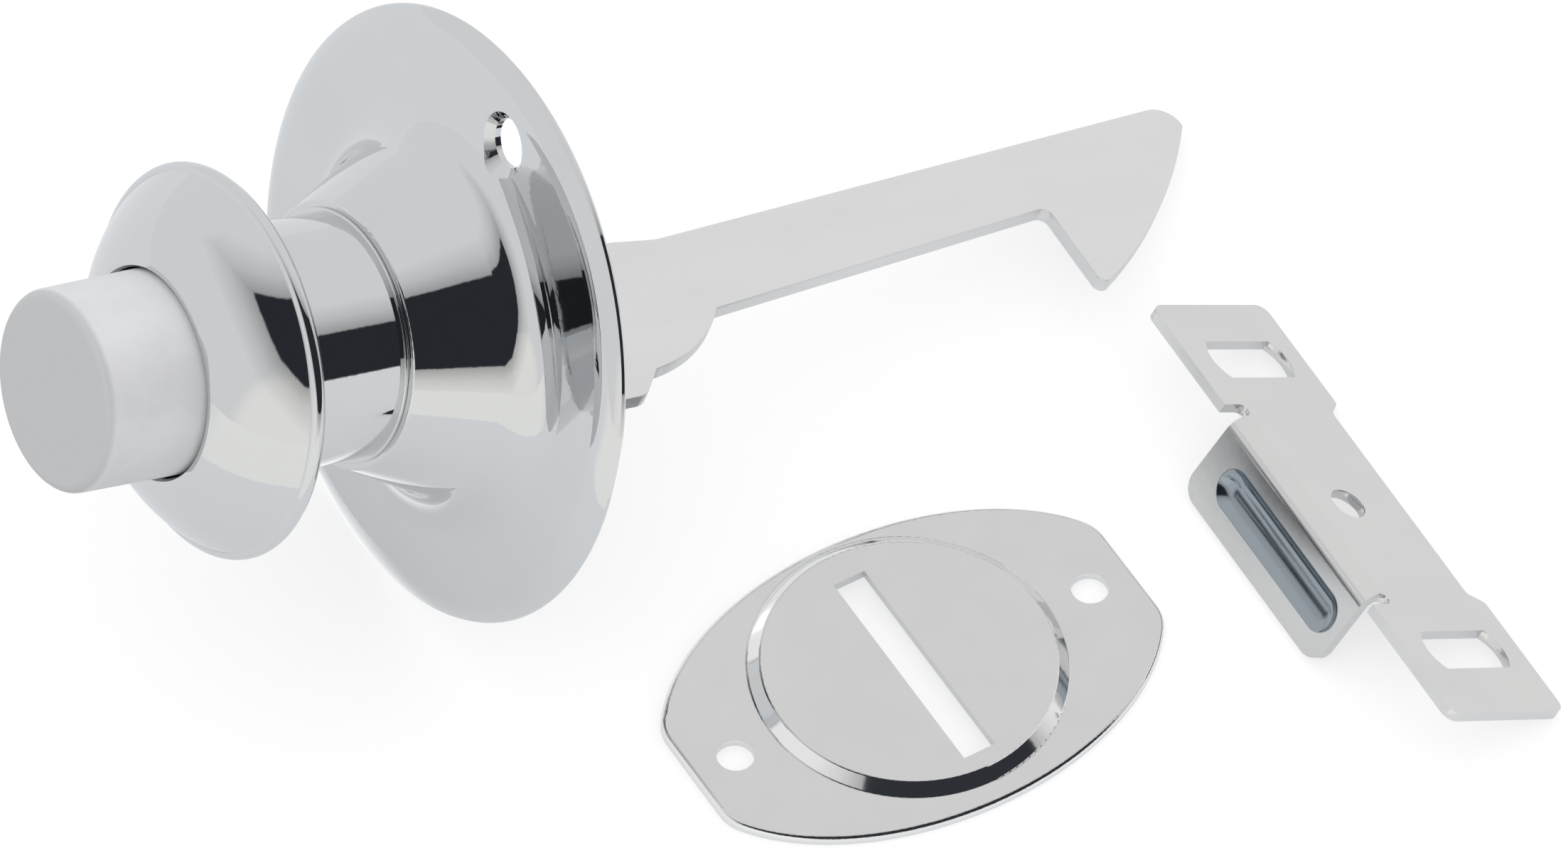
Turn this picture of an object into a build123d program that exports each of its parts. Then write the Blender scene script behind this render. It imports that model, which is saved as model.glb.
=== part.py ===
from build123d import *
from math import atan, cos, degrees, radians, sin, sqrt, tan
import os

# Pushbutton catch in millimetres, laid out as a set on a flat surface at Z = 0.
# The knob lies on its rose's rim and the end of its arm, with the slotted guide
# plate and the strike in front of it.
# Knob frame: Z runs along the knob's axis towards the button, with Z = 0 at the
# rose's widest circle. X is the way the hook lifts, Y is across the arm's flat side.

# Rose: bell-shaped back plate
rose_radius = 27.5
rose_wall = 1.3
rim_back = 0.4            # back face, behind the widest circle
rim_edge = 0.4            # round of the rim's edge
rim_land = 1.3            # width of the flat back face
rim_width = 2.7           # rounded border, seen from the front
rim_bulge = 0.215         # how far the border's curve rises over a straight slope
ring_height = 1.3         # flat ring over the widest circle
bell_foot_radius = 16.8   # where the bell's slope would meet the ring
bell_mouth_radius = 11.9
bell_height = 11.4
bell_foot_fillet = 5.0
mouth_thickness = 1.5
rose_hole_place = 21.3    # from the axis to the screw hole
rose_hole_radius = 2.2
rose_sink_radius = 2.9
rose_sink_depth = 0.7

# Knob body: flange, neck and spigot in one piece
flange_radius = 17.5
flange_height = 24.7      # centre of the flange's edge over the rose's back
flange_edge = 0.7         # half thickness of the edge
front_height = 31.1
opening_radius = 9.5
opening_round = 0.4
front_mid = (14.0, 28.5)  # radius and height of a point on the curved front
neck_radius = 10.9
neck_top = 20.6           # the flange's back starts to spread here
neck_fillet = 0.8
button_bore = 9.3
bore_floor = 14.0
spigot_radius = 7.2
spigot_bore = 6.0
spigot_end = 3.0

# Neck collar
collar_radius = 11.35
collar_thickness = 0.4
collar_round = 0.15

# Button and what slides with it
button_face_radius = 8.95
button_root_radius = 9.2
button_front = 40.8
button_rear = 20.5
button_edge_round = 0.9
guide_land = 3.0          # length of the button's running collar
button_pocket_radius = 7.0
button_pocket_depth = 5.5
stem_radius = 4.0
stem_hold = 11.0          # length held in the button
button_travel = 2.5
pad_radius = 2.6
pad_proud = 0.6
pad_hold = 2.4

# Guide bush, spring and clip
bush_flange = 1.0
bush_flange_radius = 9.1
bush_end = 4.0
seat_thickness = 0.4
spring_wire = 0.8
spring_radius = 5.6       # mean radius of the coil
spring_turns = 6
clip_thickness = 0.8
clip_radius = 5.5
clip_groove = 0.6

# Washers under the rose's mouth
clamp_washer_thickness = 0.8
clamp_washer_radius = 10.2
lock_washer_thickness = 1.0
lock_washer_radius = 9.2
lock_washer_gap = 0.8

# Pivot yoke
yoke_radius = 9.0
yoke_end = 10.0           # behind the rose's back face
yoke_web = 2.0            # the slot starts here, behind the back face
stem_bore_end = 6.0
slot_stop = 5.5           # the slot's closed side, from the axis
slot_above = 1.25         # slot's half on the washer's side of the arm
slot_below = 3.4          # slot's half on the spring's side of the arm
grub_radius = 1.25
grub_height = 5.6

# Pivot
pivot_back = 6.5          # behind the rose's back face
pivot_lift = 6.5          # off the axis, the way the hook lifts
pin_radius = 1.2
pin_half = 5.6
pivot_washer_radius = 2.3
pivot_washer_thickness = 0.4
arm_spring_wire = 0.6
arm_spring_radius = 1.9
arm_spring_pitch = 0.7
arm_spring_start = 34     # where the leg that bears on the arm leaves the coil
arm_spring_end = -20      # where the leg held in the yoke leaves it
arm_spring_reach = 12.6   # where its tip crosses the arm, behind the back face
anchor_run = 5.2          # length of the spring's leg into its hole in the yoke

# Latch arm, a flat stamping
arm_thickness = 1.5
arm_shoulder_lift = 3.6   # top edge just behind the rose
arm_shoulder = 19.7       # where the top edge starts to drop to the waist
arm_waist_lift = 2.95     # top edge at its lowest
arm_waist = 24.2
arm_end_lift = 6.5        # top edge near the hook's end
arm_end = 83.2
arm_end_round = 2.3
hook_face = 64.0          # barb's inner face, behind the back face
hook_depth = 12.4         # barb's tip, from the axis
hook_bow = 1.4
bar_low_root = 6.05       # bottom edge near the rose
bar_low_hook = 2.3        # bottom edge near the hook
bar_root = 25.4
heel_depth = 14.0
heel_step = 11.35
lug_radius = 2.5
nose_radius = 1.0
nose_drop = 2.9

# Escutcheon: slotted guide plate
guide_sheet = 0.9
guide_half_length = 22.7
guide_long_axis = 24.3
guide_half_width = 15.7
guide_corner = 4.0
guide_edge_round = 0.5
boss_radius = 14.3        # where the step's slope would meet the plate
boss_step = 1.15          # run of the slope, in to the raised face
boss_height = 1.05
boss_round = 0.4
boss_shift = (-0.15, 0.6)
guide_slot_length = 21.8
guide_slot_width = 3.2
guide_hole_spacing = 36.8
guide_hole_radius = 1.7

# Strike
strike_sheet = 1.0
strike_half_length = 25.3
strike_long_end = 26.1    # the other end is a little longer
strike_near_edge = 7.6    # free long edge of the two ends, from the centre hole
strike_mid_edge = 6.15    # free long edge between the ends
strike_lip_edge = 6.8     # the ends' edge on the lip's side
strike_shoulder = 12.2
bend_start = 4.4          # where the lip's bend leaves the flat, from the centre hole
bend_angle = 86
bend_radius = 1.9         # on the outside
lip_depth = 9.2
lip_half_length = 11.25
lip_shift = 0.05
lip_corner = 2.0
notch_radius = 0.65
strike_hole_radius = 1.75
strike_hole_place = -0.45
strike_slot_place = 18.3
strike_slot_half_height = 2.3
strike_slot_half_width = 4.0
strike_slot_bow = 0.8
strike_slot_offset = 0.7
bead_half_length = 9.4
bead_radius = 2.6         # of the trough pressed into the lip
bead_depth = 0.9
bead_low = 2.15           # plain strip between the bead and the lip's edge
bead_shift = -0.8

# Fits and gaps
running_gap = 0.05
thread_gap = 0.05
arm_gap = 0.05
push_gap = 0.1
stop_gap = 0.1
clip_gap = 0.1
arm_lift_gap = 0.06       # under the arm's end, over the surface

# Layout on the surface, from the point under the rose's centre
knob_turn = -0.33         # the knob's axis lies this many degrees off the X direction
guide_place = (27.04, -37.57)
guide_turn = 1.4
strike_place = (69.0, -42.55)

# Worked out from the sizes above
mouth_bore = spigot_radius + thread_gap
mouth_floor = bell_height - mouth_thickness
knob_seat = bell_height + collar_thickness
lock_washer_top = mouth_floor - clamp_washer_thickness
yoke_top = lock_washer_top - lock_washer_thickness
button_radius = button_bore - running_gap
bush_bore = stem_radius + running_gap
bush_top = bore_floor + bush_flange
spring_foot = bush_top + seat_thickness
pocket_floor = button_rear + button_pocket_depth
half_arm = arm_thickness / 2
clip_top = bush_end - clip_gap
clip_low = clip_top - clip_thickness
recess_floor = clip_low - button_travel - stop_gap
nose_front = yoke_web + 0.7
stem_end = nose_front - push_gap
knob_tilt = atan((rose_radius - half_arm) / (arm_end + arm_lift_gap / 0.3))
bell_centre = rose_radius * cos(knob_tilt)
bend = radians(bend_angle)
lip_out = bend_start + bend_radius * sin(bend) + (
    lip_depth - bend_radius + (bend_radius - strike_sheet) * cos(bend)) / tan(bend)
lip_in = lip_out - strike_sheet * sin(bend)
strike_tilt = atan((lip_depth - strike_sheet) / (strike_near_edge + lip_in))


def rounded(face, *corners):
    """Round the corners of a flat face, each given as x, y and radius."""
    for x, y, radius in corners:
        spot = face.vertices().sort_by_distance(Vector(x, y, 0))[0]
        face = fillet(spot, radius)
    return face


def turned(face):
    """Turn a profile of radius and height about the knob's axis."""
    return revolve(Plane.XZ * face, Axis.Z)


def outline(*points):
    return make_face(Polyline(*points, close=True))


def tube(outer, inner, low, high):
    return turned(outline((inner, low), (outer, low), (outer, high), (inner, high)))


def rod(radius, low, high):
    return Pos(0, 0, (low + high) / 2) * Cylinder(radius, high - low)


def rose():
    slope = (bell_foot_radius - bell_mouth_radius) / (bell_height - ring_height)
    wall_across = rose_wall * sqrt(1 + slope * slope)
    under = ring_height - rose_wall
    back_inner = rose_radius - rim_edge - rim_land

    def cone(height):
        return bell_mouth_radius + slope * (bell_height - height)

    inner_foot = cone(under) - wall_across
    inner_mouth = cone(mouth_floor) - wall_across
    border_in = Vector(rose_radius - rim_width, ring_height)
    border_out = Vector(rose_radius - 0.1, rim_edge * 0.6)
    across = (border_out - border_in).normalized()
    crown = (border_in + border_out) / 2 + Vector(-across.Y, across.X) * rim_bulge
    profile = make_face([
        Line((mouth_bore, bell_height), (bell_mouth_radius, bell_height)),
        Line((bell_mouth_radius, bell_height), (bell_foot_radius, ring_height)),
        Line((bell_foot_radius, ring_height), border_in),
        ThreePointArc(border_in, crown, border_out),
        Line(border_out, (rose_radius, 0)),
        Line((rose_radius, 0), (rose_radius - rim_edge, -rim_back)),
        Line((rose_radius - rim_edge, -rim_back), (back_inner, -rim_back)),
        Line((back_inner, -rim_back), (back_inner, under)),
        Line((back_inner, under), (inner_foot, under)),
        Line((inner_foot, under), (inner_mouth, mouth_floor)),
        Line((inner_mouth, mouth_floor), (mouth_bore, mouth_floor)),
        Line((mouth_bore, mouth_floor), (mouth_bore, bell_height)),
    ])
    profile = rounded(
        profile,
        (bell_foot_radius, ring_height, bell_foot_fillet),
        (bell_mouth_radius, bell_height, 0.3),
        (inner_foot, under, bell_foot_fillet + rose_wall),
    )
    spot = Pos(0, -rose_hole_place, 0)
    through = spot * rod(rose_hole_radius, -rim_back - 1, ring_height + 1)
    grow = rose_sink_radius - rose_hole_radius
    sink = Pos(0, 0, ring_height) * Cone(
        rose_hole_radius, rose_sink_radius + grow, 2 * rose_sink_depth)
    return turned(profile) - through - spot * sink


def knob_body():
    edge_low = flange_height - flange_edge
    edge_high = flange_height + flange_edge
    edge_centre = flange_radius - flange_edge
    bore_top = front_height - opening_round
    profile = make_face([
        Line((opening_radius, front_height), (opening_radius + opening_round, front_height)),
        ThreePointArc((opening_radius + opening_round, front_height), front_mid, (edge_centre, edge_high)),
        CenterArc((edge_centre, flange_height), flange_edge, -90, 180),
        Line((edge_centre, edge_low), (neck_radius, neck_top)),
        Line((neck_radius, neck_top), (neck_radius, knob_seat)),
        Line((neck_radius, knob_seat), (spigot_radius, knob_seat)),
        Line((spigot_radius, knob_seat), (spigot_radius, spigot_end)),
        Line((spigot_radius, spigot_end), (spigot_bore, spigot_end)),
        Line((spigot_bore, spigot_end), (spigot_bore, bore_floor)),
        Line((spigot_bore, bore_floor), (button_bore, bore_floor)),
        Line((button_bore, bore_floor), (button_bore, bore_top)),
        Line((button_bore, bore_top), (opening_radius, front_height)),
    ])
    return turned(rounded(profile, (neck_radius, neck_top, neck_fillet)))


def neck_collar():
    profile = outline(
        (mouth_bore, bell_height), (collar_radius, bell_height),
        (collar_radius, knob_seat), (mouth_bore, knob_seat))
    profile = rounded(
        profile, (collar_radius, bell_height, collar_round), (collar_radius, knob_seat, collar_round))
    return turned(profile)


def button_cap():
    land_top = button_rear + guide_land
    hole_floor = button_rear + stem_hold
    profile = outline(
        (stem_radius, button_rear), (stem_radius, hole_floor), (0, hole_floor), (0, button_front),
        (button_face_radius, button_front), (button_root_radius, land_top + 0.4),
        (button_radius, land_top), (button_radius, button_rear),
        (button_pocket_radius, button_rear), (button_pocket_radius, pocket_floor),
        (stem_radius + 0.5, pocket_floor), (stem_radius + 0.5, button_rear))
    return turned(rounded(profile, (button_face_radius, button_front, button_edge_round)))


def plunger_stem():
    groove = stem_radius - clip_groove
    top = button_rear + stem_hold
    pad_floor = pad_proud + pad_hold - stem_end
    profile = outline(
        (0, top), (stem_radius, top), (stem_radius, clip_top), (groove, clip_top),
        (groove, clip_low), (stem_radius, clip_low), (stem_radius, pad_proud - stem_end),
        (pad_radius, pad_proud - stem_end), (pad_radius, pad_floor), (0, pad_floor))
    return turned(profile)


def push_pad():
    head = stem_radius - 0.3
    profile = outline(
        (0, -stem_end), (head, -stem_end), (head, pad_proud - stem_end),
        (pad_radius, pad_proud - stem_end), (pad_radius, pad_proud + pad_hold - stem_end),
        (0, pad_proud + pad_hold - stem_end))
    return turned(profile)


def button_spring():
    length = pocket_floor - spring_foot - spring_wire
    path = Pos(0, 0, spring_foot + spring_wire / 2) * Helix(
        length / spring_turns, length, spring_radius)
    start = Plane(origin=path @ 0, z_dir=path % 0)
    return sweep(start * Circle(spring_wire / 2), path=path)


def guide_bush():
    return turned(outline(
        (bush_bore, bush_end), (spigot_bore, bush_end), (spigot_bore, bore_floor),
        (bush_flange_radius, bore_floor), (bush_flange_radius, bush_top), (bush_bore, bush_top)))


def spring_seat():
    return tube(spring_radius + spring_wire * 1.5, bush_bore + 0.3, bush_top, spring_foot)


def stem_clip():
    ring = tube(clip_radius, stem_radius - clip_groove, clip_low, clip_top)
    mouth = Pos(clip_radius, 0, (clip_low + clip_top) / 2) * Box(
        2 * clip_radius, stem_radius, 2 * clip_thickness)
    return ring - mouth


def clamp_washer():
    return tube(clamp_washer_radius, mouth_bore, lock_washer_top, mouth_floor)


def lock_washer():
    ring = tube(lock_washer_radius, mouth_bore, yoke_top, lock_washer_top)
    split = Pos(0, -lock_washer_radius, (yoke_top + lock_washer_top) / 2) * Rot(20, 0, 0) * Box(
        lock_washer_gap, lock_washer_radius, 3 * lock_washer_thickness)
    return ring - split


def pivot_yoke():
    sleeve = turned(outline(
        (mouth_bore, yoke_top), (yoke_radius, yoke_top), (yoke_radius, -yoke_end),
        (0, -yoke_end), (0, -stem_bore_end), (stem_radius + 3 * running_gap, -stem_bore_end),
        (stem_radius + 3 * running_gap, recess_floor), (spigot_bore, recess_floor),
        (spigot_bore, spigot_end), (mouth_bore, spigot_end)))
    slot_width = slot_above + slot_below
    slot_depth = yoke_end - yoke_web
    slot_height = yoke_radius + slot_stop + 1
    slot = Pos(
        slot_height / 2 - slot_stop, (slot_below - slot_above) / 2,
        -yoke_web - slot_depth / 2 - 0.5) * Box(slot_height, slot_width, slot_depth + 1)
    pin_hole = on_pivot() * Cylinder(pin_radius, 4 * yoke_radius)
    grub_hole = Pos(-yoke_radius, 0, grub_height) * Rot(0, 90, 0) * Cylinder(
        grub_radius, 2 * (yoke_radius - spigot_radius))
    coil = arm_spring_coil()
    run = anchor_run + arm_spring_wire
    leg_hole = Plane(origin=coil @ 1, z_dir=coil % 1) * Pos(0, 0, run / 2) * Cylinder(
        arm_spring_wire / 2 + 2 * running_gap, run)
    return sleeve - slot - pin_hole - grub_hole - leg_hole


def on_pivot():
    return Pos(pivot_lift, 0, -pivot_back) * Rot(90, 0, 0)


def clamp_grub_screw():
    length = yoke_radius - mouth_bore - 0.1
    middle = Pos(-mouth_bore - length / 2, 0, grub_height)
    body = middle * Rot(0, 90, 0) * Cylinder(grub_radius, length)
    socket = Pos(-mouth_bore - length, 0, grub_height) * Rot(0, 90, 0) * extrude(
        RegularPolygon(grub_radius * 0.5, 6), length * 0.4, both=True)
    return body - socket


def pivot_pin():
    return on_pivot() * Cylinder(pin_radius, 2 * pin_half)


def pivot_washer():
    middle = -(half_arm + arm_gap + pivot_washer_thickness / 2)
    ring = Cylinder(pivot_washer_radius, pivot_washer_thickness) - Cylinder(
        pin_radius + running_gap, 2 * pivot_washer_thickness)
    return Pos(pivot_lift, middle, -pivot_back) * Rot(90, 0, 0) * ring


def arm_spring_coil(first=0, last=1):
    """Centre line of the arm spring's coil, or of the part between two shares of its length."""
    near = half_arm + arm_gap + arm_spring_wire / 2
    turns = 2 + (arm_spring_start - arm_spring_end) / 360
    length = turns * arm_spring_pitch
    place = Pos(pivot_lift, near, -pivot_back) * Rot(-90, 0, 0) * Pos(0, 0, first * length)
    return place * Rot(0, 0, arm_spring_start - first * turns * 360) * Helix(
        arm_spring_pitch, (last - first) * length, arm_spring_radius, lefthand=True)


def arm_spring():
    coil = arm_spring_coil()
    front = radians(arm_spring_start)
    reach = (arm_spring_reach - pivot_back - arm_spring_radius * sin(front)) / cos(front)
    corner = coil @ 0 - (coil % 0) * reach
    tip = corner - Vector(0, corner.Y + half_arm, 0)
    to_arm = FilletPolyline(tip, corner, coil @ 0, radius=arm_spring_wire * 1.2)
    quarters = [arm_spring_coil(i / 9, (i + 1) / 9).edge() for i in range(9)]
    to_yoke = Line(coil @ 1, coil @ 1 + (coil % 1) * anchor_run)
    path = Wire(to_arm.edges() + quarters + to_yoke.edges())
    start = Plane(origin=tip, z_dir=corner - tip)
    return sweep(start * Circle(arm_spring_wire / 2), path=path)


def latch_arm():
    top_slope = (arm_end_lift - arm_waist_lift) / (arm_end - 2 - arm_waist)
    heel_front = yoke_end + stop_gap
    root_top = pivot_back + 7.1
    shelf = arm_gap * 10 - slot_stop
    nose_back = nose_front + nose_radius
    lug = lug_radius * sin(radians(45))
    end_top = (arm_end, arm_end_lift + 2 * top_slope)
    end_low = (arm_end, end_top[1] - 1.2 * arm_end_round)
    bow = ((arm_end + hook_face) / 2 + 0.74 * hook_bow, (end_low[1] - hook_depth) / 2 - 0.67 * hook_bow)
    profile = make_face([
        Line((root_top, arm_shoulder_lift), (arm_shoulder, arm_shoulder_lift)),
        Line((arm_shoulder, arm_shoulder_lift), (arm_waist, arm_waist_lift)),
        Line((arm_waist, arm_waist_lift), end_top),
        Line(end_top, end_low),
        ThreePointArc(end_low, bow, (hook_face, -hook_depth)),
        Line((hook_face, -hook_depth), (hook_face, -bar_low_hook)),
        Line((hook_face, -bar_low_hook), (bar_root, -bar_low_root)),
        ThreePointArc((bar_root, -bar_low_root), (22.3, -8.9), (15.7, -heel_step)),
        Line((15.7, -heel_step), (13.1, -heel_depth)),
        Line((13.1, -heel_depth), (heel_front, -heel_depth)),
        Line((heel_front, -heel_depth), (heel_front, shelf)),
        Line((heel_front, shelf), (nose_back + 1.2, shelf)),
        Line((nose_back + 1.2, shelf), (nose_back, -nose_drop - nose_radius)),
        ThreePointArc(
            (nose_back, -nose_drop - nose_radius), (nose_front, -nose_drop),
            (nose_back, -nose_drop + nose_radius)),
        Line((nose_back, -nose_drop + nose_radius), (pivot_back - lug, pivot_lift - lug)),
        ThreePointArc(
            (pivot_back - lug, pivot_lift - lug), (pivot_back, pivot_lift + lug_radius),
            (pivot_back + lug_radius, pivot_lift)),
        Line((pivot_back + lug_radius, pivot_lift), (root_top, arm_shoulder_lift)),
    ])
    profile = rounded(
        profile,
        (*end_top, arm_end_round), (hook_face, -hook_depth, 0.8), (hook_face, -bar_low_hook, 0.9),
        (13.1, -heel_depth, 1.6), (arm_shoulder, arm_shoulder_lift, 3), (arm_waist, arm_waist_lift, 6))
    flat = Plane(origin=(0, 0, 0), x_dir=(0, 0, -1), z_dir=(0, -1, 0))
    blank = flat * extrude(profile, half_arm, both=True)
    return blank - on_pivot() * Cylinder(pin_radius + running_gap, 4 * arm_thickness)


def escutcheon_plate():
    end_cut = Rectangle(2 * guide_half_length, 4 * guide_half_width)
    oval = Ellipse(guide_long_axis, guide_half_width) & end_cut
    oval = fillet(oval.vertices(), guide_corner)
    plate = extrude(oval, guide_sheet)
    rim = plate.faces().sort_by(Axis.Z)[-1].edges()
    plate = fillet(rim, min(guide_edge_round, 0.6 * guide_sheet))
    top = guide_sheet + boss_height
    boss_top_radius = boss_radius - boss_step
    slant = sqrt(boss_step ** 2 + boss_height ** 2)
    steep = atan(boss_height / boss_step)
    bend_round = min(boss_round, 0.48 * slant / tan(steep / 2))
    foot = boss_radius + bend_round
    raised = outline((0, 0.1), (foot, 0.1), (foot, guide_sheet), (boss_radius, guide_sheet),
                     (boss_top_radius, top), (0, top))
    raised = rounded(raised, (boss_radius, guide_sheet, bend_round), (boss_top_radius, top, bend_round))
    hollow = outline((0, -1), (boss_radius - guide_sheet, -1), (boss_radius - guide_sheet, 0),
                     (boss_top_radius - guide_sheet * 0.6, boss_height), (0, boss_height))
    boss = Pos(*boss_shift) * turned(raised) & extrude(oval, 2 * top)
    body = plate + boss - Pos(*boss_shift) * turned(hollow)
    body = body - Box(guide_slot_width, guide_slot_length, 8 * top)
    for side in (-1, 1):
        body = body - Pos(side * guide_hole_spacing / 2, 0, 0) * Cylinder(guide_hole_radius, 4)
    return body


def strike_plate():
    tangent = -bend_start
    mid, near = strike_mid_edge, strike_near_edge
    blank = outline(
        (-strike_lip_edge, strike_half_length), (near, strike_half_length),
        (near, strike_shoulder + 0.4), (mid, strike_shoulder - 0.8),
        (mid, 0.8 - strike_shoulder), (near, -strike_shoulder - 0.4),
        (near, -strike_long_end), (-strike_lip_edge, -strike_long_end))
    ends = [(x, y, 1.2) for x in (-strike_lip_edge, near) for y in (strike_half_length, -strike_long_end)]
    shoulders = [
        (x, side * y, 0.8) for side in (-1, 1)
        for x, y in ((near, strike_shoulder + 0.4), (mid, strike_shoulder - 0.8))]
    blank = rounded(blank, *ends, *shoulders)
    bay = Pos(tangent - bend_radius * 2, lip_shift) * Rectangle(bend_radius * 4, 2 * lip_half_length)
    blank = blank - bay
    for side in (-1, 1):
        notch_place = lip_shift + side * (lip_half_length + notch_radius)
        notch = Pos(tangent + 0.1 - notch_radius - 5, notch_place) * SlotOverall(
            10 + 2 * notch_radius, 2 * notch_radius)
        slot = Pos(strike_slot_offset, side * strike_slot_place) * bowed_slot()
        blank = blank - notch - slot
    blank = blank - Pos(strike_hole_place, 0) * Circle(strike_hole_radius)
    plate = extrude(blank, -strike_sheet)

    inner = bend_radius - strike_sheet
    outer_start = Vector(tangent - bend_radius * sin(bend), bend_radius * (cos(bend) - 1))
    inner_start = Vector(tangent - inner * sin(bend), inner * cos(bend) - bend_radius)
    down = Vector(-cos(bend), -sin(bend))
    run = (lip_depth + inner_start.Y) / sin(bend)
    profile = make_face([
        Line((tangent, 0), (tangent, -strike_sheet)),
        CenterArc((tangent, -bend_radius), inner, 90, bend_angle),
        Line(inner_start, inner_start + down * run),
        Line(inner_start + down * run, outer_start + down * run),
        Line(outer_start + down * run, outer_start),
        CenterArc((tangent, -bend_radius), bend_radius, 90, bend_angle),
    ])
    lip = Pos(0, lip_shift, 0) * extrude(Plane.XZ * profile, lip_half_length, both=True)
    low = lip.edges().filter_by(lambda e: e.geom_type == GeomType.LINE and e.length < strike_sheet * 1.01)
    lip = fillet(low.group_by(Axis.Z)[0], lip_corner)
    half_width = sqrt(bead_radius ** 2 - (bead_radius - bead_depth) ** 2)
    at = outer_start + down * (run - bead_low - half_width)
    face = Plane(origin=(at.X, lip_shift + bead_shift, at.Y), x_dir=(0, 1, 0), z_dir=(sin(bend), 0, -cos(bend)))
    dent = face * trough(bead_radius)
    bulge = face * (trough(bead_radius + strike_sheet) & Pos(0, 0, 5 + strike_sheet / 2) * Box(60, 20, 10))
    return plate + lip + bulge - dent


def trough(radius):
    """A bar with ball ends that presses the bead into the lip's face."""
    ends = sqrt(bead_radius ** 2 - (bead_radius - bead_depth) ** 2)
    straight = bead_half_length - ends
    bar = Rot(0, 90, 0) * Cylinder(radius, 2 * straight)
    for side in (-1, 1):
        bar = bar + Pos(side * straight, 0, 0) * Sphere(radius)
    return Pos(0, 0, bead_depth - bead_radius) * bar


def bowed_slot():
    w, h, bow = strike_slot_half_width, strike_slot_half_height, strike_slot_bow
    return make_face([
        Line((-w, h), (w, h)), ThreePointArc((w, h), (w + bow, 0), (w, -h)),
        Line((w, -h), (-w, -h)), ThreePointArc((-w, -h), (-w - bow, 0), (-w, h))])


knob_frame = Rot(0, 0, knob_turn) * Plane(
    origin=(0, 0, bell_centre), x_dir=(0, 1, 0),
    z_dir=(-cos(knob_tilt), 0, sin(knob_tilt))).location
guide_frame = Pos(guide_place[0], guide_place[1], 0) * Rot(0, 0, guide_turn)
strike_rise = strike_near_edge * sin(strike_tilt) + strike_sheet * cos(strike_tilt)
strike_frame = Pos(strike_place[0], strike_place[1], strike_rise) * Rot(0, degrees(strike_tilt), 0)

pieces = {}
for maker in (
        rose, knob_body, neck_collar, button_cap, plunger_stem, push_pad, button_spring, spring_seat,
        guide_bush, stem_clip, clamp_washer, lock_washer, pivot_yoke, clamp_grub_screw, pivot_pin,
        pivot_washer, arm_spring, latch_arm):
    pieces[maker.__name__] = knob_frame * maker()
pieces["escutcheon_plate"] = guide_frame * escutcheon_plate()
pieces["strike_plate"] = strike_frame * strike_plate()

# The origin is on the surface, in the middle of the set
box = Compound(children=[Compound(list(p.solids())) for p in pieces.values()]).bounding_box(optimal=True)
centre = Pos(-(box.min.X + box.max.X) / 2, -(box.min.Y + box.max.Y) / 2, 0)

os.makedirs("parts", exist_ok=True)
for name, piece in pieces.items():
    export_step(centre * piece, f"parts/{name}.step")
print("shift", centre.position, "tilt", degrees(knob_tilt), "strike tilt", degrees(strike_tilt))
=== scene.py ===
import bmesh
import bpy
from math import radians
from mathutils import Matrix, Vector


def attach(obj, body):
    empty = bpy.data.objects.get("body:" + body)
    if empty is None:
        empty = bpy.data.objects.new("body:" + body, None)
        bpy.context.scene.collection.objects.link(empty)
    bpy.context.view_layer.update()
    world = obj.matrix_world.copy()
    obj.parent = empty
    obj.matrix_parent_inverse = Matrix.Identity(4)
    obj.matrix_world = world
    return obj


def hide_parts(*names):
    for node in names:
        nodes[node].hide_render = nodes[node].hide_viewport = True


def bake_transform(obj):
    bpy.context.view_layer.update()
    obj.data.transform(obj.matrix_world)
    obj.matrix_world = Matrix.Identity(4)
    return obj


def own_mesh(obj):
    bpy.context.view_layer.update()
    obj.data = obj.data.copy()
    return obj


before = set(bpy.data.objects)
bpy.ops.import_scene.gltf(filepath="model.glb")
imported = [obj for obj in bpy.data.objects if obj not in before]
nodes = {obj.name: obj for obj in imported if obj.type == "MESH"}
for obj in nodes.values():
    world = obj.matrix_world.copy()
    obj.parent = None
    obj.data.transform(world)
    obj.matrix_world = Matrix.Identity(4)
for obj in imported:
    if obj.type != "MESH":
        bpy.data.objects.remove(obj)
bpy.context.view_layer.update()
scene = bpy.context.scene
print("frame loaded:", len(nodes), "pieces")

# Camera at the photograph's viewpoint, in metres, with the lens and sensor in millimetres
camera = {
    "place": (-0.45460, -0.69557, 1.10639),
    "right": (0.8635, -0.5026, 0.0425),
    "up": (0.3773, 0.6996, 0.6068),
    "lens": 359.0,
    "sensor": 36.0,
    "near": 0.1,
    "far": 20,
}


def addCamera():
    lens = bpy.data.cameras.new("photoCamera")
    lens.lens = camera["lens"]
    lens.sensor_width = camera["sensor"]
    lens.sensor_fit = "HORIZONTAL"
    lens.clip_start, lens.clip_end = camera["near"], camera["far"]
    holder = bpy.data.objects.new("photoCamera", lens)
    scene.collection.objects.link(holder)
    right = Vector(camera["right"]).normalized()
    up = Vector(camera["up"])
    up = (up - right * up.dot(right)).normalized()
    turn = Matrix((right, up, right.cross(up))).transposed().to_4x4()
    holder.matrix_world = Matrix.Translation(camera["place"]) @ turn
    scene.camera = holder


addCamera()


# Shader helpers
def addNode(tree, kind, at=(0, 0), settings=None, **values):
    made = tree.nodes.new(kind)
    made.location = at
    for name, value in (settings or {}).items():
        setattr(made, name, value)
    for name, value in values.items():
        made.inputs[name.replace("_", " ")].default_value = value
    return made


def newGroup(name, inputs, outputs):
    group = bpy.data.node_groups.new(name, "ShaderNodeTree")
    for title, kind, value in inputs:
        socket = group.interface.new_socket(title, in_out="INPUT", socket_type=kind)
        socket.default_value = value
    for title, kind in outputs:
        group.interface.new_socket(title, in_out="OUTPUT", socket_type=kind)
    entry = addNode(group, "NodeGroupInput", (-900, 0))
    leave = addNode(group, "NodeGroupOutput", (600, 0))
    return group, entry, leave


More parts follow.
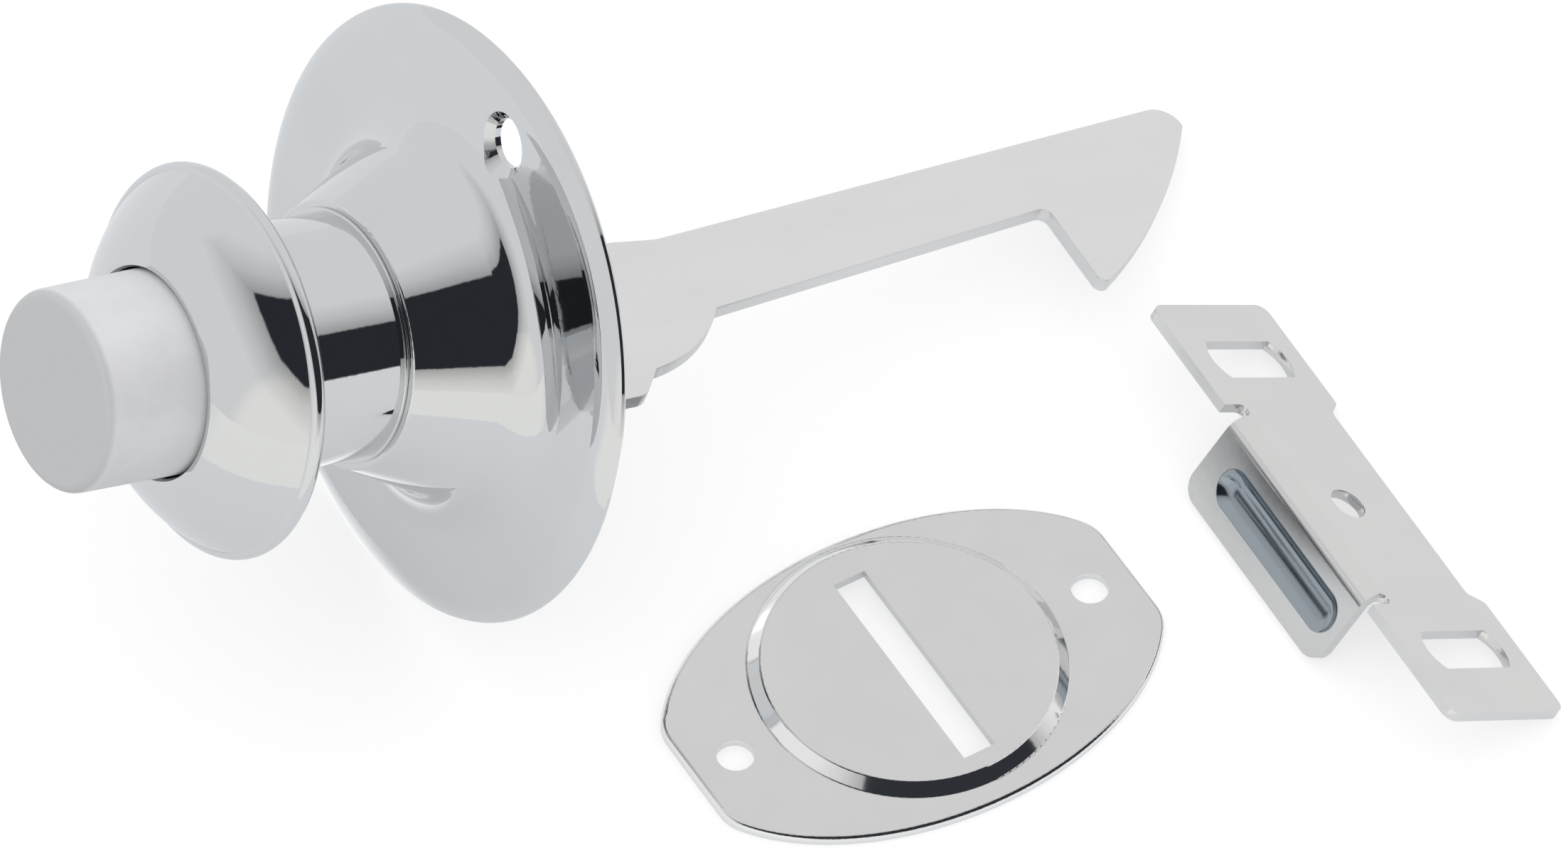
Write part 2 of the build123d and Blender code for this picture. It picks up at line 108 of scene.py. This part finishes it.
def placeGroup(tree, group, at, values):
    placed = addNode(tree, "ShaderNodeGroup", at, {"node_tree": group})
    for name, value in values.items():
        placed.inputs[name].default_value = value
    return placed


def mask(tree, value, start, end, at):
    edge = addNode(tree, "ShaderNodeMapRange", at, {"interpolation_type": "SMOOTHSTEP"},
                   From_Min=start, From_Max=end)
    tree.links.new(value, edge.inputs["Value"])
    return edge.outputs["Result"]


def along(tree, vector, way, at):
    made = addNode(tree, "ShaderNodeVectorMath", at, {"operation": "DOT_PRODUCT"})
    made.inputs[1].default_value = Vector(way).normalized()
    tree.links.new(vector, made.inputs[0])
    return made.outputs["Value"]


def offsetFrom(tree, vector, point, at):
    made = addNode(tree, "ShaderNodeVectorMath", at, {"operation": "SUBTRACT"})
    made.inputs[1].default_value = point
    tree.links.new(vector, made.inputs[0])
    return made.outputs["Vector"]


def lengthOf(tree, vector, at):
    made = addNode(tree, "ShaderNodeVectorMath", at, {"operation": "LENGTH"})
    tree.links.new(vector, made.inputs[0])
    return made.outputs["Value"]


def joined(tree, operation, first, second, at):
    made = addNode(tree, "ShaderNodeMath", at, {"operation": operation})
    for socket, value in zip(made.inputs, (first, second)):
        if isinstance(value, float):
            socket.default_value = value
        else:
            tree.links.new(value, socket)
    return made.outputs[0]


def blended(tree, share, first, second, at):
    made = addNode(tree, "ShaderNodeMix", at, {"data_type": "RGBA"})
    tree.links.new(share, made.inputs[0])
    for socket, value in ((made.inputs[6], first), (made.inputs[7], second)):
        if isinstance(value, tuple):
            socket.default_value = value
        else:
            tree.links.new(value, socket)
    return made.outputs[2]


# Polish marks: the faint clouding of every finish here, with finer waves over it
polish = {
    "cloudDetail": 3.0, "cloudRough": 0.55, "cloudFrom": 0.35, "cloudTo": 0.65,
    "waveDetail": 2.0, "waveRough": 0.5, "finer": 9.0, "depth": 0.0001,
}
polishGroup, entry, leave = newGroup(
    "polishMarks",
    [("Vector", "NodeSocketVector", (0, 0, 0)), ("Tint", "NodeSocketColor", (0.7, 0.7, 0.7, 1)),
     ("Cloud Tint", "NodeSocketColor", (0.6, 0.6, 0.6, 1)), ("Scale", "NodeSocketFloat", 120.0),
     ("Smooth", "NodeSocketFloat", 0.05), ("Rough", "NodeSocketFloat", 0.1)],
    [("Color", "NodeSocketColor"), ("Roughness", "NodeSocketFloat"), ("Height", "NodeSocketFloat")])
cloud = addNode(polishGroup, "ShaderNodeTexNoise", (-650, 150),
                Detail=polish["cloudDetail"], Roughness=polish["cloudRough"])
fine = addNode(polishGroup, "ShaderNodeTexNoise", (-650, -150),
               Detail=polish["waveDetail"], Roughness=polish["waveRough"])
faster = addNode(polishGroup, "ShaderNodeMath", (-800, -150), {"operation": "MULTIPLY"})
faster.inputs[1].default_value = polish["finer"]
spread = addNode(polishGroup, "ShaderNodeMapRange", (-400, 150),
                 From_Min=polish["cloudFrom"], From_Max=polish["cloudTo"])
tint = addNode(polishGroup, "ShaderNodeMix", (-150, 200), {"data_type": "RGBA"})
dull = addNode(polishGroup, "ShaderNodeMix", (-150, -50), {"data_type": "FLOAT"})
links = polishGroup.links
links.new(entry.outputs["Vector"], cloud.inputs["Vector"])
links.new(entry.outputs["Scale"], cloud.inputs["Scale"])
links.new(entry.outputs["Vector"], fine.inputs["Vector"])
links.new(entry.outputs["Scale"], faster.inputs[0])
links.new(faster.outputs[0], fine.inputs["Scale"])
links.new(cloud.outputs["Fac"], spread.inputs["Value"])
links.new(spread.outputs["Result"], tint.inputs[0])
links.new(entry.outputs["Tint"], tint.inputs[6])
links.new(entry.outputs["Cloud Tint"], tint.inputs[7])
links.new(fine.outputs["Fac"], dull.inputs[0])
links.new(entry.outputs["Smooth"], dull.inputs[2])
links.new(entry.outputs["Rough"], dull.inputs[3])
links.new(tint.outputs[2], leave.inputs["Color"])
links.new(dull.outputs[0], leave.inputs["Roughness"])
links.new(fine.outputs["Fac"], leave.inputs["Height"])


def addFinish(name, look):
    made = bpy.data.materials.new(name)
    made.use_nodes = True
    tree = made.node_tree
    shader = tree.nodes["Principled BSDF"]
    shader.inputs["Metallic"].default_value = look.get("metal", 1.0)
    coords = addNode(tree, "ShaderNodeTexCoord", (-1000, 0))
    marks = placeGroup(tree, polishGroup, (-500, 0), look["marks"])
    bump = addNode(tree, "ShaderNodeBump", (-250, -200),
                   Strength=look["bump"], Distance=polish["depth"])
    stretch = addNode(tree, "ShaderNodeMapping", (-750, 0))
    stretch.inputs["Scale"].default_value = look.get("stretch", (1, 1, 1))
    tree.links.new(coords.outputs["Object"], stretch.inputs["Vector"])
    tree.links.new(stretch.outputs["Vector"], marks.inputs["Vector"])
    tree.links.new(marks.outputs["Color"], shader.inputs["Base Color"])
    tree.links.new(marks.outputs["Roughness"], shader.inputs["Roughness"])
    tree.links.new(marks.outputs["Height"], bump.inputs["Height"])
    tree.links.new(bump.outputs["Normal"], shader.inputs["Normal"])
    return made


def objectPlace(tree):
    return addNode(tree, "ShaderNodeTexCoord", (-1800, 700)).outputs["Object"]


def recolour(material, share, tone):
    tree = material.node_tree
    colour = tree.nodes["Principled BSDF"].inputs["Base Color"]
    mixed = blended(tree, share, colour.links[0].from_socket, tone, (-100, 300))
    tree.links.new(mixed, colour)


# Finishes: tints, marks to the metre, and the roughness of the smoothest and roughest spots
chrome = addFinish("mirrorChrome", {
    "marks": {"Tint": (0.69, 0.70, 0.705, 1), "Cloud Tint": (0.68, 0.69, 0.695, 1), "Scale": 150.0,
              "Smooth": 0.02, "Rough": 0.04},
    "bump": 0.02})
satin = addFinish("satinButton", {
    "marks": {"Tint": (0.88, 0.885, 0.90, 1), "Cloud Tint": (0.84, 0.845, 0.86, 1), "Scale": 300.0,
              "Smooth": 0.5, "Rough": 0.6},
    "bump": 0.06, "metal": 0.2})
# Painted shade: the button's front face takes a darker tone than its sides
buttonFaceShade = {"way": (-0.9522, 0.0055, 0.3054), "from": 0.0662, "to": 0.0668,
              "tone": (0.66, 0.67, 0.68, 1)}
sheet = addFinish("rolledSheet", {
    "marks": {"Tint": (0.76, 0.755, 0.745, 1), "Cloud Tint": (0.74, 0.735, 0.73, 1), "Scale": 160.0,
              "Smooth": 0.1, "Rough": 0.15},
    "bump": 0.02, "stretch": (0.3, 1, 1)})
# Painted shade: the trough pressed in the strike takes a dark blue-grey tone
troughShade = {"axis": (0.04037, -0.02272, 0.00492), "half": 0.00743, "radius": 0.0026,
               "blend": 0.0001, "tone": (0.34, 0.385, 0.42, 1)}
plainSheet = addFinish("plainArm", {
    "marks": {"Tint": (0.82, 0.82, 0.82, 1), "Cloud Tint": (0.80, 0.80, 0.80, 1), "Scale": 200.0,
              "Smooth": 0.34, "Rough": 0.42},
    "bump": 0.04, "stretch": (0.3, 1, 1)})
plate = addFinish("platedGuide", {
    "marks": {"Tint": (0.725, 0.725, 0.72, 1), "Cloud Tint": (0.705, 0.705, 0.70, 1),
              "Scale": 180.0, "Smooth": 0.05, "Rough": 0.09},
    "bump": 0.03})
# Painted highlight: outside a circle round the boss, every height but the two flat tops (the step
# and the rounded edges) takes a lighter tone
bendHighlight = {"boss": (0.00782, -0.0164, 0), "clear": 0.0125, "sheetTop": 0.0009, "bossTop": 0.00195,
             "blend": 0.00012, "tone": (0.9, 0.9, 0.895, 1)}
turnedSteel = addFinish("turnedSteel", {
    "marks": {"Tint": (0.62, 0.62, 0.625, 1), "Cloud Tint": (0.58, 0.58, 0.59, 1), "Scale": 160.0,
              "Smooth": 0.24, "Rough": 0.32},
    "bump": 0.02})
brass = addFinish("turnedBrass", {
    "marks": {"Tint": (0.7, 0.52, 0.26, 1), "Cloud Tint": (0.64, 0.46, 0.22, 1), "Scale": 160.0,
              "Smooth": 0.22, "Rough": 0.32},
    "bump": 0.02})
wire = addFinish("springWire", {
    "marks": {"Tint": (0.4, 0.41, 0.43, 1), "Cloud Tint": (0.34, 0.35, 0.37, 1), "Scale": 500.0,
              "Smooth": 0.25, "Rough": 0.4},
    "bump": 0.1})
rubber = addFinish("blackPad", {
    "marks": {"Tint": (0.02, 0.02, 0.021, 1), "Cloud Tint": (0.026, 0.026, 0.027, 1),
              "Scale": 400.0, "Smooth": 0.5, "Rough": 0.65},
    "bump": 0.1, "metal": 0.0})


# Paints shade on the button's front face: a darker tone past a level along the button's axis
def paintButtonFaceShade(look):
    tree = satin.node_tree
    reach = along(tree, objectPlace(tree), look["way"], (-1500, 700))
    recolour(satin, mask(tree, reach, look["from"], look["to"], (-1200, 700)), look["tone"])


# Paints a highlight on the plate's step and rounded edges, leaving its two flats and the boss's
# middle plain
def paintBendHighlight(look):
    tree = plate.node_tree
    soft, crisp = look["blend"], look["blend"] / 4
    away = offsetFrom(tree, objectPlace(tree), look["boss"], (-1600, 700))
    reach = lengthOf(tree, away, (-1400, 800))
    outside = mask(tree, reach, look["clear"] - soft, look["clear"] + soft, (-1200, 900))
    height = along(tree, away, (0, 0, 1), (-1400, 500))
    flats = 0.0
    for row, top in enumerate((look["sheetTop"], look["bossTop"])):
        over = mask(tree, height, top - soft, top - crisp, (-1200, 600 - 400 * row))
        under = mask(tree, height, top + crisp, top + soft, (-1200, 400 - 400 * row))
        flat = joined(tree, "SUBTRACT", over, under, (-1000, 500 - 400 * row))
        flats = joined(tree, "ADD", flat, flats, (-800, 500 - 400 * row))
    bent = joined(tree, "SUBTRACT", outside, flats, (-600, 700))
    recolour(plate, mask(tree, bent, 0.0, 1.0, (-400, 700)), look["tone"])


# Paints shade inside the trough: a capsule round its axis takes the dark tone
def shadeTrough(look):
    tree = sheet.node_tree
    soft, crisp = look["blend"], look["blend"] / 4
    away = offsetFrom(tree, objectPlace(tree), look["axis"], (-1600, 700))
    lengthwise = along(tree, away, (0, 1, 0), (-1400, 500))
    held = addNode(tree, "ShaderNodeClamp", (-1200, 500), Min=-look["half"], Max=look["half"])
    tree.links.new(lengthwise, held.inputs["Value"])
    spine = addNode(tree, "ShaderNodeCombineXYZ", (-1000, 500))
    tree.links.new(held.outputs[0], spine.inputs["Y"])
    gap = addNode(tree, "ShaderNodeVectorMath", (-800, 700), {"operation": "DISTANCE"})
    tree.links.new(away, gap.inputs[0])
    tree.links.new(spine.outputs[0], gap.inputs[1])
    clear = mask(tree, gap.outputs["Value"], look["radius"] + crisp, look["radius"] + soft,
                 (-600, 700))
    recolour(sheet, joined(tree, "SUBTRACT", 1.0, clear, (-400, 700)), look["tone"])


paintButtonFaceShade(buttonFaceShade)
paintBendHighlight(bendHighlight)
shadeTrough(troughShade)

finishes = {
    "rose": chrome, "knob_body": chrome, "neck_collar": chrome, "button_cap": satin,
    "plunger_stem": turnedSteel, "push_pad": rubber, "button_spring": wire,
    "spring_seat": turnedSteel, "guide_bush": brass, "stem_clip": wire, "clamp_washer": turnedSteel,
    "lock_washer": wire, "pivot_yoke": turnedSteel, "clamp_grub_screw": turnedSteel,
    "pivot_pin": turnedSteel, "pivot_washer": turnedSteel, "arm_spring": wire,
    "latch_arm": plainSheet, "escutcheon_plate": plate, "strike_plate": sheet,
}
for name, finish in finishes.items():
    nodes[name].data.materials.clear()
    nodes[name].data.materials.append(finish)
print("finishes placed on", len(finishes), "pieces")

# Sheared edges: the stamped pieces' edges are a little rounded. Angles are in degrees
shear = {"weld": 1e-7, "flat": 0.5, "sharp": 50, "crease": 35, "steps": 2}
stamped = {
    "strike_plate": {"name": "strikeSheet", "round": 0.00018, "body": "catch"},
    "latch_arm": {"name": "armSheet", "round": 0.00014, "body": "arm"},
}


def soften(name, look):
    node = nodes[name]
    work = bmesh.new()
    work.from_mesh(node.data)
    bmesh.ops.remove_doubles(work, verts=work.verts, dist=shear["weld"])
    bmesh.ops.dissolve_limit(work, angle_limit=radians(shear["flat"]), verts=work.verts,
                             edges=work.edges)
    sheared = [edge for edge in work.edges
               if len(edge.link_faces) == 2 and edge.calc_face_angle() > radians(shear["sharp"])]
    bmesh.ops.bevel(work, geom=sheared, offset=look["round"], offset_type="OFFSET",
                    segments=shear["steps"], profile=0.5, affect="EDGES", clamp_overlap=True)
    for face in work.faces:
        face.smooth = True
    for edge in work.edges:
        if len(edge.link_faces) == 2 and edge.calc_face_angle() > radians(shear["crease"]):
            edge.smooth = False
    mesh = bpy.data.meshes.new(look["name"])
    work.to_mesh(mesh)
    work.free()
    mesh.materials.append(finishes[name])
    made = bpy.data.objects.new(look["name"], mesh)
    scene.collection.objects.link(made)
    even = made.modifiers.new("evenShading", "WEIGHTED_NORMAL")
    even.keep_sharp = True
    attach(made, look["body"])
    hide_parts(name)


for name, look in stamped.items():
    soften(name, look)
print("edges rounded on", len(stamped), "stampings")

# Springs: the button's coil is copied onto its own mesh and attached to the catch body, and the
# arm's spring is copied with its placement baked in
pressed = {"name": "buttonCoil", "body": "catch", "joint": "button_slide", "travel": 0.0025}
wound = {"name": "armCoil", "joint": "arm_swing", "reach": 0.0019}


def copyOf(node, name):
    made = bpy.data.objects.new(name, nodes[node].data.copy())
    scene.collection.objects.link(made)
    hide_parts(node)
    return made


def pressSpring(look):
    coil = copyOf("button_spring", look["name"])
    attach(coil, look["body"])
    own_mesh(coil)


def windSpring(look):
    coil = copyOf("arm_spring", look["name"])
    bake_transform(coil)


pressSpring(pressed)
windSpring(wound)

# Floor and surroundings, in metres. The metal mirrors a floor that glows with painted light for
# reflected rays only: grey close by, a painted pool of light behind the rose, and warmer where it
# sweeps up. A direction is in the dark opening if it lies behind all the edges, each of which is
# the way it faces and a level
floorLook = {
    "size": 6.0, "below": 0.00005, "tone": 0.5, "rough": 0.9, "shine": 0.1, "seenGlow": 0.62,
    "near": (0.42, 0.435, 0.455, 1), "far": (0.55, 0.55, 0.525, 1), "behind": (0.86, 0.86, 0.87, 1),
    "behindMiddle": (-0.011, 0.022, 0), "behindStart": 0.016, "behindEnd": 0.022,
    "middle": (-0.03, 0.02, 0), "sweepStart": 0.094, "sweepEnd": 0.097,
    "sweepWay": (-0.60, -0.80, 0), "sweepFrom": 0.6, "sweepTo": 0.75,
}
surround = {
    "ground": (1, 1, 1, 1), "groundStrength": 0.9,
    "grey": (0.85, 0.85, 0.855, 1), "cream": (0.99, 0.985, 0.955, 1),
    "dark": (0.026, 0.029, 0.035, 1),
    "creamWay": (-0.60, -0.80, -0.05), "creamFrom": 0.76, "creamTo": 0.86,
    "soft": 0.012, "edgeShade": 0.5, "midShade": 0.8, "midPlace": 0.15, "clearPlace": 0.32,
}
openingEdges = {
    "top": ((0.352, 0.628, 0.695), -0.425),
    "slope": ((-0.7667, 0.2806, -0.5771), 0.0),
    "foot": ((-0.7145, 0.0337, -0.6987), 0.0),
    "sill": ((-0.3013, -0.2029, -0.9317), 0.0),
    "side": ((0.5736, 0.8192, 0.0), 0.0),
}


def addFloor():
    made = bpy.data.materials.new("paleFloor")
    made.use_nodes = True
    tree = made.node_tree
    shader = tree.nodes["Principled BSDF"]
    tone = floorLook["tone"]
    shader.inputs["Base Color"].default_value = (tone, tone, tone, 1)
    shader.inputs["Roughness"].default_value = floorLook["rough"]
    shader.inputs["Specular IOR Level"].default_value = floorLook["shine"]
    place = objectPlace(tree)
    away = offsetFrom(tree, place, floorLook["middle"], (-1400, -300))
    reach = lengthOf(tree, away, (-1200, -200))
    aimed = addNode(tree, "ShaderNodeVectorMath", (-1200, -450), {"operation": "NORMALIZE"})
    tree.links.new(away, aimed.inputs[0])
    outer = mask(tree, reach, floorLook["sweepStart"], floorLook["sweepEnd"], (-900, -200))
    facing = along(tree, aimed.outputs[0], floorLook["sweepWay"], (-1000, -450))
    facing = mask(tree, facing, floorLook["sweepFrom"], floorLook["sweepTo"], (-800, -450))
    swept = joined(tree, "MULTIPLY", outer, facing, (-600, -300))
    tint = blended(tree, swept, floorLook["near"], floorLook["far"], (-400, -300))
    # Painted light: a pale patch on the floor behind the rose, seen only in the metal's reflections
    shift = offsetFrom(tree, place, floorLook["behindMiddle"], (-1400, -700))
    rearGlow = mask(tree, lengthOf(tree, shift, (-1200, -700)), floorLook["behindStart"],
                    floorLook["behindEnd"], (-800, -700))
    tint = blended(tree, rearGlow, floorLook["behind"], tint, (-200, -300))
    paths = addNode(tree, "ShaderNodeLightPath", (-1000, 200))
    seen = joined(tree, "MAXIMUM", paths.outputs["Is Camera Ray"],
                  paths.outputs["Is Transmission Ray"], (-600, 200))
    seen = joined(tree, "MULTIPLY", seen, floorLook["seenGlow"], (-400, 200))
    plain = addNode(tree, "ShaderNodeEmission", (0, -200), Color=(1, 1, 1, 1))
    tree.links.new(seen, plain.inputs["Strength"])
    mirrored = addNode(tree, "ShaderNodeEmission", (0, -400))
    tree.links.new(tint, mirrored.inputs["Color"])
    tree.links.new(paths.outputs["Is Glossy Ray"], mirrored.inputs["Strength"])
    both = addNode(tree, "ShaderNodeAddShader", (250, -250))
    total = addNode(tree, "ShaderNodeAddShader", (450, 0))
    tree.links.new(plain.outputs[0], both.inputs[0])
    tree.links.new(mirrored.outputs[0], both.inputs[1])
    tree.links.new(shader.outputs[0], total.inputs[0])
    tree.links.new(both.outputs[0], total.inputs[1])
    tree.links.new(total.outputs[0], tree.nodes["Material Output"].inputs["Surface"])
    bpy.ops.mesh.primitive_plane_add(size=floorLook["size"], location=(0, 0, -floorLook["below"]))
    floor = bpy.context.object
    floor.name = "paleFloor"
    floor.data.materials.append(made)


def addWorld():
    world = bpy.data.worlds.new("lightTent")
    scene.world = world
    world.use_nodes = True
    tree = world.node_tree
    ground = tree.nodes["Background"]
    ground.inputs["Color"].default_value = surround["ground"]
    ground.inputs["Strength"].default_value = surround["groundStrength"]
    way = addNode(tree, "ShaderNodeTexCoord", (-1800, 0)).outputs["Generated"]
    warm = along(tree, way, surround["creamWay"], (-1500, 400))
    warm = mask(tree, warm, surround["creamFrom"], surround["creamTo"], (-1300, 400))
    walls = blended(tree, warm, surround["grey"], surround["cream"], (-600, 400))
    outside = None
    for place, (edge, level) in enumerate(openingEdges.values()):
        beyond = along(tree, way, edge, (-1500, 100 - 160 * place))
        beyond = joined(tree, "ADD", beyond, level, (-1300, 100 - 160 * place))
        if outside is None:
            outside = beyond
        else:
            outside = joined(tree, "MAXIMUM", outside, beyond, (-1100, 100 - 160 * place))
    closed = mask(tree, outside, -surround["soft"], surround["soft"], (-800, 0))
    shadow = addNode(tree, "ShaderNodeValToRGB", (-900, -300))
    ramp = shadow.color_ramp
    ramp.elements[0].position, ramp.elements[1].position = 0.0, surround["clearPlace"]
    ramp.elements[0].color = [surround["edgeShade"]] * 3 + [1]
    ramp.elements.new(surround["midPlace"]).color = [surround["midShade"]] * 3 + [1]
    ramp.elements[2].color = (1, 1, 1, 1)
    tree.links.new(outside, shadow.inputs["Fac"])
    shaded = addNode(tree, "ShaderNodeMix", (-400, 200),
                     {"data_type": "RGBA", "blend_type": "MULTIPLY"})
    shaded.inputs[0].default_value = 1.0
    tree.links.new(walls, shaded.inputs[6])
    tree.links.new(shadow.outputs["Color"], shaded.inputs[7])
    shade = blended(tree, closed, surround["dark"], shaded.outputs[2], (-200, 0))
    mirrored = addNode(tree, "ShaderNodeBackground", (0, -200), Strength=1.0)
    tree.links.new(shade, mirrored.inputs["Color"])
    backdrop = addNode(tree, "ShaderNodeBackground", (0, -350), Color=(1, 1, 1, 1), Strength=1.0)
    paths = addNode(tree, "ShaderNodeLightPath", (-400, 500))
    glossy = addNode(tree, "ShaderNodeMixShader", (200, 0))
    seen = addNode(tree, "ShaderNodeMixShader", (400, 0))
    tree.links.new(paths.outputs["Is Glossy Ray"], glossy.inputs[0])
    tree.links.new(ground.outputs[0], glossy.inputs[1])
    tree.links.new(mirrored.outputs[0], glossy.inputs[2])
    tree.links.new(paths.outputs["Is Camera Ray"], seen.inputs[0])
    tree.links.new(glossy.outputs[0], seen.inputs[1])
    tree.links.new(backdrop.outputs[0], seen.inputs[2])
    tree.links.new(seen.outputs[0], tree.nodes["World Output"].inputs["Surface"])


addFloor()
addWorld()
scene.view_settings.view_transform = "Standard"
print("stage and light placed")
